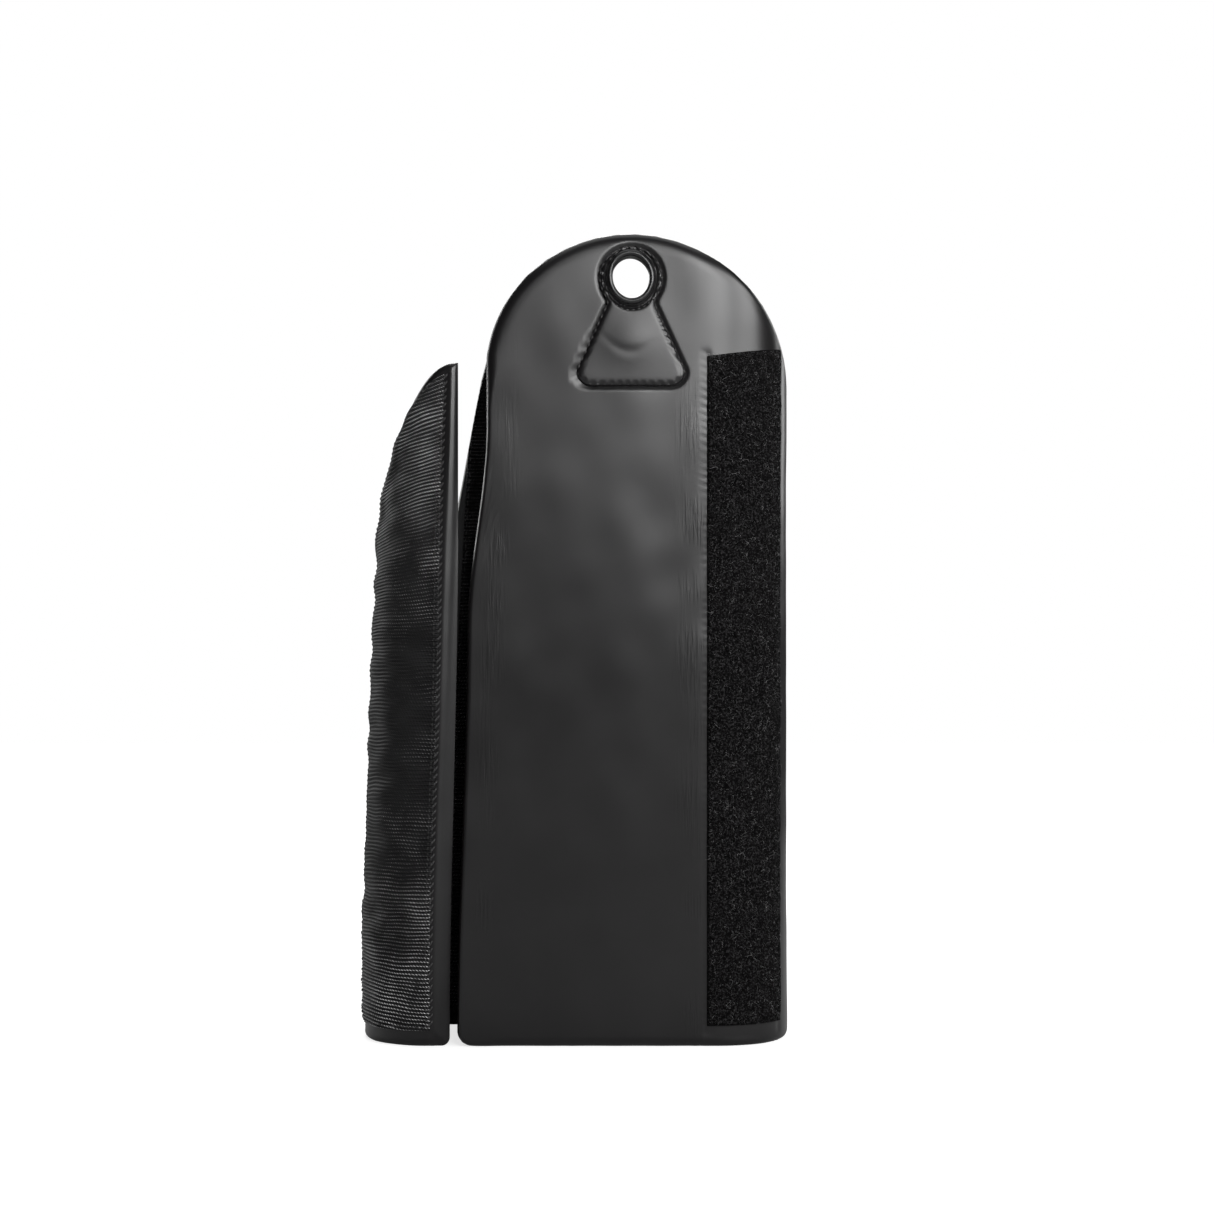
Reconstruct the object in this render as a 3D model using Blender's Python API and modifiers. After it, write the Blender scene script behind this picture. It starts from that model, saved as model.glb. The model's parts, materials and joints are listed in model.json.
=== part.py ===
"""Wrap-round leg kick shield: a foam-cored sheet that stands as an open, flattened tube.

Three panels: the back, the domed front with the hanging eyelet, and a narrow closing flap.
The front and the flap fold out about the tube's right and left bends.
Metres, +Z up, -Y towards the closure side.
"""
from math import cos, pi, radians, sin

import bpy
import numpy as np

MM = 0.001

# The tube's cross-section: two flats joined by half-round bends
BEND_RADIUS = 42.0          # outer face of the sheet, in mm like all sizes below
BEND_CENTRE = 84.5          # distance from the middle plane to each bend's centre
QUARTER = BEND_RADIUS * pi / 2
FLAT = 2 * BEND_CENTRE
FOLD_CLEARANCE = 9.0        # each panel stops this far short of its fold line
FOLD_X = 122.0              # fold lines run up the middle of the bends

# Layers of the sheet, as depths under its outer face
COVER = (0.0, 1.0)
FOAM = (1.4, 7.6)
LINING = (8.0, 9.0)
TOUCH = 0.4                 # gap left between two layers

# Outline heights
DOME_TOP = 470.0
SHOULDER = 390.0
DOME_X = 32.6
DOME_LEFT_REACH = 84.0
DOME_FALL = 0.0061          # right shoulder falls by this times its arc length squared
BACK_TOP = 415.0
VALLEY = 295.0
VALLEY_REACH = 60.0         # arc length from the left fold over which the valley is level
VALLEY_SIDE = 24.0          # and over which its side climbs the back panel
FLAP_TIP = 395.5
FLAP_RISE = 4.0             # arc length from the left fold where the flap's outline starts to rise
LEAN = 15.0                 # the left bend leans inward this much at the flap's tip
LEAN_START = 55.0           # and is upright below this height

# Hook-and-loop tapes
LOOP_TAPE_WIDTH = 50.0
LOOP_TAPE_START = 24.0      # arc length from the right fold
LOOP_TAPE_TOP = 406.0
LOOP_TAPE_SLANT = 0.14
LOOP_TAPE_THICK = 2.2
HOOK_TAPE_WIDTH = 58.0
HOOK_TAPE_THICK = 1.3
NARROW_TAPE = 38.0          # the two tapes inside the tube
NARROW_TAPE_TOP = 384.0
INNER_TAPE_START = 72.0     # arc length from the left fold
EDGE_TAPE_START = 8.0       # past the middle plane, towards the front's free edge
TAPE_FOOT = 12.0
HOOK_FOOT = 9.0
UNDER_TOP = 5.0             # a tape stops this far under the sheet's outline
THREAD = 0.45               # radius of the sewing thread
STITCH_INSET = 2.5

# Eyelet and its sewn-on patch
EYELET_Z = 444.0
EYELET_HOLE = 12.0
EYELET_BARREL = 1.2
EYELET_LIP = 2.8            # the flange's width outside the hole
EYELET_LIP_THICK = 1.3
WASHER_WALL = 3.6
WASHER_THICK = 1.2
EYELET_OVAL = 0.87          # width over height
SPACER_WALL = 4.0
PATCH_HEAD = 18.2
PATCH_HALF_FOOT = 31.0
PATCH_FOOT_Z = 381.5
PATCH_CORNER = 6.0
PATCH_PAD_THICK = 1.6
PATCH_SKIN_THICK = 1.0

LEATHER = ((0.020, 0.019, 0.020), 0.42)
LINING_CLOTH = ((0.026, 0.025, 0.027), 0.60)
FOAM_GREY = ((0.10, 0.10, 0.10), 0.95)
PILE = ((0.010, 0.010, 0.010), 0.98)
HOOKS = ((0.022, 0.021, 0.022), 0.80)
THREAD_BLACK = ((0.030, 0.029, 0.030), 0.70)
PLASTIC = ((0.016, 0.016, 0.017), 0.35)


def clear_scene():
    for old in list(bpy.data.objects):
        bpy.data.objects.remove(old, do_unlink=True)


def collection(name):
    group = bpy.data.collections.new(name)
    bpy.context.scene.collection.children.link(group)
    return group


def material(name, finish, metallic=0.0):
    """A Principled material: finish is (colour, roughness)."""
    colour, roughness = finish
    new = bpy.data.materials.new(name)
    new.use_nodes = True
    shader = new.node_tree.nodes["Principled BSDF"]
    shader.inputs["Base Color"].default_value = (*colour, 1.0)
    shader.inputs["Roughness"].default_value = roughness
    shader.inputs["Metallic"].default_value = metallic
    return new


def smooth(value):
    """0 below 0, 1 above 1, and an easy S between them."""
    t = np.clip(value, 0.0, 1.0)
    return t * t * (3 - 2 * t)


def lean(z):
    """How far the left bend leans inward at height z."""
    return LEAN * np.clip((z - LEAN_START) / (FLAP_TIP - LEAN_START), 0.0, None) ** 1.4


# Each panel is a sheet over (s, z): s runs along the outer face from a fold line.
# place() turns (s, depth, z) into (x, y); top() is the panel's upper outline.

def front_place(s, depth, z):
    """Right fold, round the bend, then leftwards along the flat front."""
    radius = BEND_RADIUS - depth
    angle = pi / 2 - np.minimum(s, QUARTER) / BEND_RADIUS
    x = BEND_CENTRE + radius * np.sin(angle) - np.maximum(s - QUARTER, 0.0)
    return x, -radius * np.cos(angle)


def front_free(z):
    """The front's free edge, as s: it widens to the left lower down."""
    edge_x = -51.0 - 11.0 * smooth((360.0 - z) / 120.0) - 6.0 * smooth((250.0 - z) / 250.0)
    return QUARTER + BEND_CENTRE - edge_x


def front_top(s):
    """An ellipse left of the dome's middle and a parabola right of it."""
    apex = QUARTER + BEND_CENTRE - DOME_X
    left = np.clip((s - apex) / DOME_LEFT_REACH, 0.0, 1.0)
    ellipse = SHOULDER + (DOME_TOP - SHOULDER) * np.sqrt(1 - left ** 2)
    parabola = DOME_TOP - DOME_FALL * (apex - s) ** 2
    return np.where(s > apex, ellipse, parabola)


def back_place(s, depth, z):
    """Right fold, round the bend, along the flat back and round to the left fold."""
    radius = BEND_RADIUS - depth
    right = pi / 2 - np.minimum(s, QUARTER) / BEND_RADIUS
    past = np.maximum(s - QUARTER - FLAT, 0.0) / BEND_RADIUS
    along = np.clip(s - QUARTER, 0.0, FLAT)
    x = BEND_CENTRE - along + radius * (np.sin(right) - np.sin(past))
    y = radius * np.where(past > 0, np.cos(past), np.cos(right))
    return x + lean(z) * along / FLAT, y


def back_top(s):
    """Rises from the right shoulder, then drops steeply into the valley at the left bend."""
    right = SHOULDER + (BACK_TOP - SHOULDER) * smooth(s / 80.0)
    from_left = 2 * QUARTER + FLAT - s
    return right - (BACK_TOP - VALLEY) * (1 - smooth((from_left - VALLEY_REACH) / VALLEY_SIDE))


def flap_place(s, depth, z):
    """Left fold, round the bend towards the front, then along to the free edge."""
    radius = BEND_RADIUS - depth
    angle = pi / 2 - np.minimum(s, QUARTER) / BEND_RADIUS
    x = -BEND_CENTRE - radius * np.sin(angle) + np.maximum(s - QUARTER, 0.0)
    return x + lean(z), -radius * np.cos(angle)


def flap_free(z):
    """The flap's free edge, as s."""
    edge_x = -72.3 + 4.8 * smooth(z / 300.0)
    return QUARTER + BEND_CENTRE + edge_x - lean(z)


def flap_top(s):
    """A quarter sine wave from the valley up to the tip by the free edge."""
    rise = np.clip((s - FLAP_RISE) / (QUARTER - FLAP_RISE), 0.0, 1.0)
    return VALLEY + (FLAP_TIP - VALLEY) * np.sin(rise * pi / 2)


def sheet(name, place, top, low_s, high_s, layer, finish, foot=0.0, drop=0.0, columns=20, rows=9,
          breaks=()):
    """One layer of a panel: an open surface at the layer's outer depth, made solid.

    low_s and high_s are its sides, as numbers or as functions of z.  foot is its lower
    end and drop how far it stops under the panel's outline.  breaks adds columns.
    """
    share = np.union1d(np.linspace(0.0, 1.0, columns), np.array(breaks, dtype=float))
    level = np.linspace(0.0, 1.0, rows)
    low = low_s if callable(low_s) else (lambda z: np.full_like(z, low_s))
    high = high_s if callable(high_s) else (lambda z: np.full_like(z, high_s))
    u, v = np.meshgrid(share, level)
    z = foot + v * (SHOULDER - foot)
    for _ in range(6):
        s = low(z) + u * (high(z) - low(z))
        z = foot + v * (top(s) - drop - foot)
    x, y = place(s, layer[0], z)
    points = np.stack([x, y, z], axis=-1).reshape(-1, 3) * MM
    count = len(share)
    faces = []
    for row in range(rows - 1):
        for column in range(count - 1):
            corner = row * count + column
            faces.append((corner, corner + 1, corner + 1 + count, corner + count))
    mesh = bpy.data.meshes.new(name)
    mesh.from_pydata(points.tolist(), [], faces)
    middle = len(faces) // 2
    outward = np.array(points[faces[middle][0]]) * (1, 1, 0)
    if mesh.polygons[middle].normal.dot(outward.tolist()) < 0:
        mesh.flip_normals()
    mesh.materials.append(finish)
    new = bpy.data.objects.new(name, mesh)
    PARTS.objects.link(new)
    solid = new.modifiers.new("thickness", "SOLIDIFY")
    solid.thickness = (layer[1] - layer[0]) * MM
    solid.offset = -1.0
    solid.use_even_offset = True
    return new


def on_outside(thickness):
    """Depths of something sewn onto the sheet's outer face."""
    return -TOUCH - thickness, -TOUCH


def on_inside(thickness):
    """Depths of something sewn onto the sheet's inner face."""
    return LINING[1] + TOUCH, LINING[1] + TOUCH + thickness


def thread_run(name, place, depth, top, low_s, high_s, foot, finish, tall=6, wide=10):
    """A closed run of thread just inside a tape's four edges, following its slanted top."""
    low = low_s + STITCH_INSET
    high = high_s - STITCH_INSET
    lowest = foot + STITCH_INSET
    across = np.linspace(low, high, wide + 1)
    crest = top(across) - UNDER_TOP - STITCH_INSET
    s = np.concatenate([across, np.full(tall - 1, high), across[::-1], np.full(tall - 1, low)])
    up = np.linspace(lowest, crest[-1], tall + 1)[1:-1]
    down = np.linspace(crest[0], lowest, tall + 1)[1:-1]
    z = np.concatenate([np.full(wide + 1, lowest), up, crest[::-1], down])
    x, y = place(s, depth, z)
    return thread_along(name, list(zip(x.tolist(), y.tolist(), z.tolist())), finish)


def thread_along(name, route, finish):
    """A closed thread through points given in millimetres."""
    curve = bpy.data.curves.new(name, "CURVE")
    curve.dimensions = "3D"
    curve.bevel_depth = THREAD * MM
    curve.bevel_resolution = 0
    spline = curve.splines.new("POLY")
    spline.points.add(len(route) - 1)
    for point, (x, y, z) in zip(spline.points, route):
        point.co = (x * MM, y * MM, z * MM, 1.0)
    spline.use_cyclic_u = True
    curve.materials.append(finish)
    new = bpy.data.objects.new(name, curve)
    PARTS.objects.link(new)
    return new


def keyhole(inset):
    """The patch's outline: a round head, straight sides and a round-cornered foot, as (x, z).

    The head's arc ends where the straight sides leave it for the foot's corners.
    """
    head = PATCH_HEAD - inset
    corner = PATCH_CORNER - inset
    foot_x = PATCH_HALF_FOOT - PATCH_CORNER
    foot_z = PATCH_FOOT_Z + PATCH_CORNER
    right = []
    for step in range(11):
        angle = radians(90 - 12.4 * step)
        right.append((head * cos(angle), EYELET_Z + head * sin(angle)))
    for step in range(5):
        angle = radians(22 - 28 * step)
        right.append((foot_x + corner * cos(angle), foot_z + corner * sin(angle)))
    left = [(-x, z) for x, z in reversed(right[1:])]
    return [(DOME_X + x, z) for x, z in right + left]


def oval(radius, points=24):
    """The eyelet's outline, a little narrower than tall, as (x, z)."""
    turn = [2 * pi * step / points for step in range(points)]
    return [(DOME_X + EYELET_OVAL * radius * cos(a), EYELET_Z + radius * sin(a)) for a in turn]


def flat_plate(name, outlines, near, far, finish):
    """A plate parallel to the front, between two depths over its face; later outlines are holes."""
    curve = bpy.data.curves.new(name, "CURVE")
    curve.dimensions = "2D"
    curve.fill_mode = "BOTH"
    curve.extrude = (near - far) / 2 * MM
    for outline in outlines:
        spline = curve.splines.new("POLY")
        spline.points.add(len(outline) - 1)
        for point, (x, z) in zip(spline.points, outline):
            point.co = (x * MM, z * MM, 0.0, 1.0)
        spline.use_cyclic_u = True
    curve.materials.append(finish)
    new = bpy.data.objects.new(name, curve)
    new.rotation_euler = (pi / 2, 0.0, 0.0)
    new.location = (0.0, (-BEND_RADIUS - (near + far) / 2) * MM, 0.0)
    PARTS.objects.link(new)
    return new


def turned(name, profile, finish, steps=24):
    """A ring about the eyelet's axis: profile is (radius, height over the front face).

    The profile goes up its outer side, so it is turned round to run down it.
    """
    mesh = bpy.data.meshes.new(name)
    points = [(radius * MM, 0.0, height * MM) for radius, height in reversed(profile)]
    edges = [(i, (i + 1) % len(points)) for i in range(len(points))]
    mesh.from_pydata(points, edges, [])
    mesh.materials.append(finish)
    new = bpy.data.objects.new(name, mesh)
    new.rotation_euler = (pi / 2, 0.0, 0.0)
    new.scale = (EYELET_OVAL, 1.0, 1.0)
    new.location = (DOME_X * MM, -BEND_RADIUS * MM, EYELET_Z * MM)
    PARTS.objects.link(new)
    spin = new.modifiers.new("turn", "SCREW")
    spin.axis = "Z"
    spin.steps = steps
    spin.render_steps = steps
    spin.use_merge_vertices = True
    spin.merge_threshold = 0.00001
    return new


def eyelet_cut(radius):
    """A cutter that clears an oval hole through the front panel."""
    bpy.ops.mesh.primitive_cylinder_add(vertices=24, radius=radius * MM, depth=0.06)
    cutter = bpy.context.object
    cutter.name = "eyelet_cutter"
    cutter.rotation_euler = (pi / 2, 0.0, 0.0)
    cutter.scale = (EYELET_OVAL, 1.0, 1.0)
    cutter.location = (DOME_X * MM, -BEND_RADIUS * MM, EYELET_Z * MM)
    cutter.hide_render = True
    cutter.display_type = "WIRE"
    for group in list(cutter.users_collection):
        group.objects.unlink(cutter)
    CUTTERS.objects.link(cutter)
    return cutter


def cut(target, cutter):
    hole = target.modifiers.new("hole", "BOOLEAN")
    hole.operation = "DIFFERENCE"
    hole.solver = "EXACT"
    hole.object = cutter


def hang_on(parent_name, x, children):
    """Parents pieces to an empty that stands on a fold line."""
    pivot = bpy.data.objects.new(parent_name, None)
    pivot.location = (x * MM, 0.0, 0.0)
    PARTS.objects.link(pivot)
    for child in children:
        child.parent = pivot
        child.location.x -= x * MM
    return pivot


def stand_on_origin():
    """Moves the whole shield so that its box stands centred on the origin."""
    bpy.context.view_layer.update()
    graph = bpy.context.evaluated_depsgraph_get()
    clouds = []
    for part in PARTS.objects:
        if part.type == "EMPTY":
            continue
        solid = part.evaluated_get(graph)
        mesh = solid.to_mesh()
        cloud = np.empty(len(mesh.vertices) * 3)
        mesh.vertices.foreach_get("co", cloud)
        place = np.array(part.matrix_world)
        clouds.append(cloud.reshape(-1, 3) @ place[:3, :3].T + place[:3, 3])
        solid.to_mesh_clear()
    low = np.vstack(clouds).min(axis=0)
    high = np.vstack(clouds).max(axis=0)
    for part in list(PARTS.objects) + list(CUTTERS.objects):
        if part.parent is None:
            part.location.x -= (low[0] + high[0]) / 2
            part.location.y -= (low[1] + high[1]) / 2
            part.location.z -= low[2]


clear_scene()
PARTS = collection("kick_shield")
CUTTERS = collection("cutters")

leather = material("pu_leather", LEATHER)
lining_cloth = material("lining_cloth", LINING_CLOTH)
foam_grey = material("eva_foam", FOAM_GREY)
pile = material("loop_pile", PILE)
hooks = material("hook_tape", HOOKS)
thread_black = material("sewing_thread", THREAD_BLACK)
plastic = material("black_plastic", PLASTIC)

# Back panel: from fold to fold round the far side
back_low = FOLD_CLEARANCE
back_high = 2 * QUARTER + FLAT - FOLD_CLEARANCE
valley_side = np.linspace(VALLEY_REACH, VALLEY_REACH + VALLEY_SIDE, 6) - FOLD_CLEARANCE
valley_breaks = 1 - valley_side / (back_high - back_low)
for node, layer, finish in (("back_cover", COVER, leather), ("back_foam", FOAM, foam_grey),
                            ("back_lining", LINING, lining_cloth)):
    sheet(node, back_place, back_top, back_low, back_high, layer, finish, columns=34,
          breaks=valley_breaks)

inner_high = 2 * QUARTER + FLAT - INNER_TAPE_START
inner_low = inner_high - NARROW_TAPE
inner_layer = on_inside(HOOK_TAPE_THICK)
sheet("inner_hook_tape", back_place, back_top, inner_low, inner_high, inner_layer, hooks,
      foot=TAPE_FOOT, drop=UNDER_TOP, columns=9)
thread_run("inner_hook_thread", back_place, inner_layer[1] + TOUCH + THREAD, back_top,
           inner_low, inner_high, TAPE_FOOT, thread_black)

# Front panel: round the right bend and along to its free edge, with the dome and eyelet
barrel = EYELET_HOLE + EYELET_BARREL
sleeve_cut = eyelet_cut(barrel + TOUCH)
spacer_cut = eyelet_cut(barrel + 2 * TOUCH + SPACER_WALL)
dome_edge_breaks = (0.93, 0.955, 0.975, 0.99)
front_pieces = []
for node, layer, finish, cutter in (("front_cover", COVER, leather, sleeve_cut),
                                    ("front_foam", FOAM, foam_grey, spacer_cut),
                                    ("front_lining", LINING, lining_cloth, sleeve_cut)):
    piece = sheet(node, front_place, front_top, FOLD_CLEARANCE, front_free, layer, finish,
                  columns=24, breaks=dome_edge_breaks)
    cut(piece, cutter)
    front_pieces.append(piece)


def loop_tape_top(s):
    return LOOP_TAPE_TOP + UNDER_TOP - LOOP_TAPE_SLANT * (s - LOOP_TAPE_START)


def narrow_tape_top(s):
    return np.full_like(s, NARROW_TAPE_TOP + UNDER_TOP)


loop_high = LOOP_TAPE_START + LOOP_TAPE_WIDTH
loop_layer = on_outside(LOOP_TAPE_THICK)
front_pieces.append(sheet("loop_tape", front_place, loop_tape_top, LOOP_TAPE_START, loop_high,
                          loop_layer, pile, foot=TAPE_FOOT, drop=UNDER_TOP, columns=9))
front_pieces.append(thread_run("loop_tape_thread", front_place, loop_layer[0] - TOUCH - THREAD,
                               loop_tape_top, LOOP_TAPE_START, loop_high, TAPE_FOOT, thread_black))

edge_low = QUARTER + BEND_CENTRE + EDGE_TAPE_START
edge_high = edge_low + NARROW_TAPE
edge_layer = on_inside(LOOP_TAPE_THICK)
front_pieces.append(sheet("edge_loop_tape", front_place, narrow_tape_top, edge_low, edge_high,
                          edge_layer, pile, foot=TAPE_FOOT, drop=UNDER_TOP, columns=3))
front_pieces.append(thread_run("edge_loop_thread", front_place, edge_layer[1] + TOUCH + THREAD,
                               narrow_tape_top, edge_low, edge_high, TAPE_FOOT, thread_black))

hole_outline = oval(barrel + TOUCH)
pad_face = TOUCH + PATCH_PAD_THICK
skin_back = pad_face + TOUCH
skin_face = skin_back + PATCH_SKIN_THICK
front_pieces.append(flat_plate("patch_pad", [keyhole(3.5), hole_outline], pad_face, TOUCH, foam_grey))
front_pieces.append(flat_plate("patch_skin", [keyhole(0.0), hole_outline], skin_face, skin_back,
                               leather))
patch_thread_y = -BEND_RADIUS - skin_face - TOUCH - THREAD
front_pieces.append(thread_along("patch_thread", [(x, patch_thread_y, z) for x, z in keyhole(1.4)],
                                 thread_black))

lip_back = skin_face + TOUCH
lip_face = lip_back + EYELET_LIP_THICK
washer_face = -LINING[1] - TOUCH
washer_back = washer_face - WASHER_THICK
barrel_end = washer_back - TOUCH
lip = EYELET_HOLE + EYELET_LIP
spacer_bore = barrel + TOUCH
front_pieces.append(turned("eyelet", [(EYELET_HOLE, barrel_end), (barrel, barrel_end),
                                      (barrel, lip_back), (lip, lip_back), (lip, lip_face - 0.4),
                                      (lip - 0.8, lip_face), (barrel - 0.2, lip_face),
                                      (EYELET_HOLE, lip_face - 0.8)], plastic))
front_pieces.append(turned("eyelet_washer", [(spacer_bore, washer_back),
                                             (spacer_bore + WASHER_WALL, washer_back),
                                             (spacer_bore + WASHER_WALL, washer_face),
                                             (spacer_bore, washer_face)], plastic))
front_pieces.append(turned("eyelet_spacer", [(spacer_bore, -FOAM[1]),
                                             (spacer_bore + SPACER_WALL, -FOAM[1]),
                                             (spacer_bore + SPACER_WALL, -FOAM[0]),
                                             (spacer_bore, -FOAM[0])], plastic))
hang_on("right_fold", FOLD_X, front_pieces)

# Closing flap: round the left bend to its free edge, faced with the ribbed hook tape
flap_pieces = []
for node, layer, finish in (("flap_cover", COVER, leather), ("flap_foam", FOAM, foam_grey),
                            ("flap_lining", LINING, lining_cloth)):
    flap_pieces.append(sheet(node, flap_place, flap_top, FOLD_CLEARANCE, flap_free, layer, finish,
                             columns=15))
hook_layer = on_outside(HOOK_TAPE_THICK)
hook_high = FOLD_CLEARANCE + HOOK_TAPE_WIDTH
flap_pieces.append(sheet("hook_tape", flap_place, flap_top, FOLD_CLEARANCE, hook_high, hook_layer,
                         hooks, foot=HOOK_FOOT, drop=UNDER_TOP, columns=13))
flap_pieces.append(thread_run("hook_tape_thread", flap_place, hook_layer[0] - TOUCH - THREAD,
                              flap_top, FOLD_CLEARANCE, hook_high, HOOK_FOOT, thread_black))
hang_on("left_fold", -FOLD_X, flap_pieces)

stand_on_origin()
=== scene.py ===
"""Looks of the wrap-round leg kick shield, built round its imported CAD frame.

The shield is one long foam-cored strip, bent into a flattened tube.  A place on it is
(g, depth, z): g runs along the strip from the fold line in the right bend, positive over the front
and negative over the back and the flap; depth is into the sheet; z is height.  All in mm.
"""
import json
from math import pi, radians

import bmesh
import bpy
import numpy as np
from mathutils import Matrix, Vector


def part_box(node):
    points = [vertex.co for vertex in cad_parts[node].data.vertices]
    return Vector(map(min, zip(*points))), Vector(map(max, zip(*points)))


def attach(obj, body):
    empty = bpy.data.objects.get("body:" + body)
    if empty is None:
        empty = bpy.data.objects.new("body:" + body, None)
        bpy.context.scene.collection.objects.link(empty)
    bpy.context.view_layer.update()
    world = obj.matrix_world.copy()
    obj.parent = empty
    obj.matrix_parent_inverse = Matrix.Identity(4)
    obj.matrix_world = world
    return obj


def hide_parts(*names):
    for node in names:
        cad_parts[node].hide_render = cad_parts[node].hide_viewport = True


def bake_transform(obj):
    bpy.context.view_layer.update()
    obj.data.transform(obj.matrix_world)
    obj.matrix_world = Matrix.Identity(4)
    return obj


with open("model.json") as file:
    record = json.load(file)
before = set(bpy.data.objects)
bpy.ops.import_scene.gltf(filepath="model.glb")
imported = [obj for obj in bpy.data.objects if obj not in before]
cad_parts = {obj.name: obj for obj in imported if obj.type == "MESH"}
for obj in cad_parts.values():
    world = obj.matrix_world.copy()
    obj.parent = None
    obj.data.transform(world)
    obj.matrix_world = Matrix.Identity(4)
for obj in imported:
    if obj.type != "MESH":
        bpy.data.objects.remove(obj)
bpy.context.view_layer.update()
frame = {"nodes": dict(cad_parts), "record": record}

# --------------------------------------
# Studio: a pale floor, white surroundings, and a soft light high in front and to the right that
# the smooth leather mirrors as a gradient from bright at the dome to dark near the foot.
MM = 0.001
folds = {joint["name"]: Vector(joint["pos_m"]) / MM
    for joint in frame["record"]["behaviour"]["joints"]}
MIDDLE_X = (folds["right_fold"].x + folds["left_fold"].x) / 2
MIDDLE_Y = folds["right_fold"].y
BEND_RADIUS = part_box("back_cover")[1].y / MM - MIDDLE_Y
DOME_X = (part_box("patch_skin")[0].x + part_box("patch_skin")[1].x) / 2 / MM - MIDDLE_X


def linear(code):
    """The linear colour of an sRGB hex code, such as 1b1a1b."""
    share = np.array([int(code[i:i + 2], 16) for i in (0, 2, 4)]) / 255
    flat = np.where(share <= 0.04045, share / 12.92, ((share + 0.055) / 1.055) ** 2.4)
    return (*flat.tolist(), 1.0)


def add_node(tree, kind, inputs=None, stops=(), **settings):
    """Adds one shader node.  inputs gives each socket a value, the socket that feeds it, or a node
    whose first output does; stops are the (place, hex code) pairs of a colour ramp's two ends."""
    new = tree.nodes.new("ShaderNode" + kind)
    for name, value in settings.items():
        setattr(new, name, value)
    for name, value in (inputs or {}).items():
        value = value.outputs[0] if isinstance(value, bpy.types.Node) else value
        if isinstance(value, bpy.types.NodeSocket):
            tree.links.new(value, new.inputs[name])
        else:
            new.inputs[name].default_value = value
    for end, (at, code) in enumerate(stops):
        new.color_ramp.elements[end].position = at
        new.color_ramp.elements[end].color = linear(code)
    return new


def empty_material(name):
    """A material with its nodes cleared, its tree, and the sockets that give a point's place."""
    new = bpy.data.materials.new(name)
    new.use_nodes = True
    new.node_tree.nodes.clear()
    return new, new.node_tree, add_node(new.node_tree, "TexCoord").outputs


def put(name, data):
    """An object of that data, linked to the scene."""
    new = bpy.data.objects.new(name, data)
    bpy.context.scene.collection.objects.link(new)
    return new


FRONT_Y = (MIDDLE_Y - BEND_RADIUS) * MM
CAMERA_AWAY = 1.2
VIEW_WIDTH = 0.7009         # width seen at the front face
VIEW_CENTRE = (0.0199, 0.254)
CAMERA_HEIGHT = 0.21
SENSOR = 36                 # mm
camera_data = bpy.data.cameras.new("camera")
camera_data.sensor_width = SENSOR
camera_data.lens = SENSOR * CAMERA_AWAY / VIEW_WIDTH
camera_data.shift_y = (VIEW_CENTRE[1] - CAMERA_HEIGHT) / VIEW_WIDTH
camera = put("camera", camera_data)
camera.location = (VIEW_CENTRE[0], FRONT_Y - CAMERA_AWAY, CAMERA_HEIGHT)
camera.rotation_euler = (pi / 2, 0, 0)
bpy.context.scene.camera = camera
bpy.context.scene.view_settings.view_transform = "Standard"

for name, stand, aim, width, height, power in (
        ("key_softbox", (0.36, -1.35, 0.78), (0.03, 0.0, 0.42), 0.5, 0.36, 12.5),
        ("shoulder_softbox", (1.10, -1.00, 0.80), (0.06, 0.0, 0.42), 0.9, 0.5, 17),
        ("rear_softbox", (-0.3, 1.5, 1.45), (0.0, 0.0, 0.30), 1.2, 0.8, 26),
        ("top_softbox", (0.0, 0.15, 1.9), (0.0, 0.0, 0.2), 1.4, 1.4, 8),
        ("left_edge_strip", (-1.1, 0.90, 0.80), (0.0, 0.0, 0.30), 0.45, 0.8, 6),
        ("right_edge_strip", (1.1, 0.90, 0.80), (0.0, 0.0, 0.30), 0.45, 0.8, 4)):
    softbox = bpy.data.lights.new(name, "AREA")
    softbox.shape = "RECTANGLE"
    softbox.size, softbox.size_y, softbox.energy = width, height, power
    lamp = put(name, softbox)
    lamp.location = stand
    lamp.rotation_euler = (Vector(aim) - Vector(stand)).to_track_quat("-Z", "Y").to_euler()

world = bpy.data.worlds.new("white_studio")
bpy.context.scene.world = world
world.use_nodes = True
tree = world.node_tree
tree.nodes.clear()
seen = add_node(tree, "LightPath")
white = add_node(tree, "Background", {"Color": linear("ffffff"), "Strength": 1.0})
dim = add_node(tree, "Background", {"Color": linear("f2f3f5"), "Strength": 0.035})
split = add_node(tree, "MixShader", {0: seen.outputs["Is Camera Ray"], 1: dim, 2: white})
add_node(tree, "OutputWorld", {"Surface": split})

FLOOR = 6.0
floor_mesh = bpy.data.meshes.new("floor")
floor_mesh.from_pydata([(-FLOOR, -FLOOR, 0), (FLOOR, -FLOOR, 0), (FLOOR, FLOOR, 0),
    (-FLOOR, FLOOR, 0)], [], [(0, 1, 2, 3)])
# Pale matt paint; further out the camera sees it whiten into the surroundings.
paint, tree, spot = empty_material("pale_floor")
matt = add_node(tree, "BsdfDiffuse", {"Color": linear("b4b4b4")})
far_off = add_node(tree, "VectorMath", {0: spot["Object"]}, operation="LENGTH")
whiten = add_node(tree, "MapRange", {"Value": far_off.outputs["Value"], "From Min": 0.2,
    "From Max": 0.9, "To Min": 0.72})
seen = add_node(tree, "LightPath")
shown = add_node(tree, "Math", {0: whiten, 1: seen.outputs["Is Camera Ray"]}, operation="MULTIPLY")
glow = add_node(tree, "Emission", {"Color": linear("ffffff"), "Strength": shown})
both = add_node(tree, "AddShader", {0: matt, 1: glow})
add_node(tree, "OutputMaterial", {"Surface": both})
floor_mesh.materials.append(paint)
floor = put("floor", floor_mesh)

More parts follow.
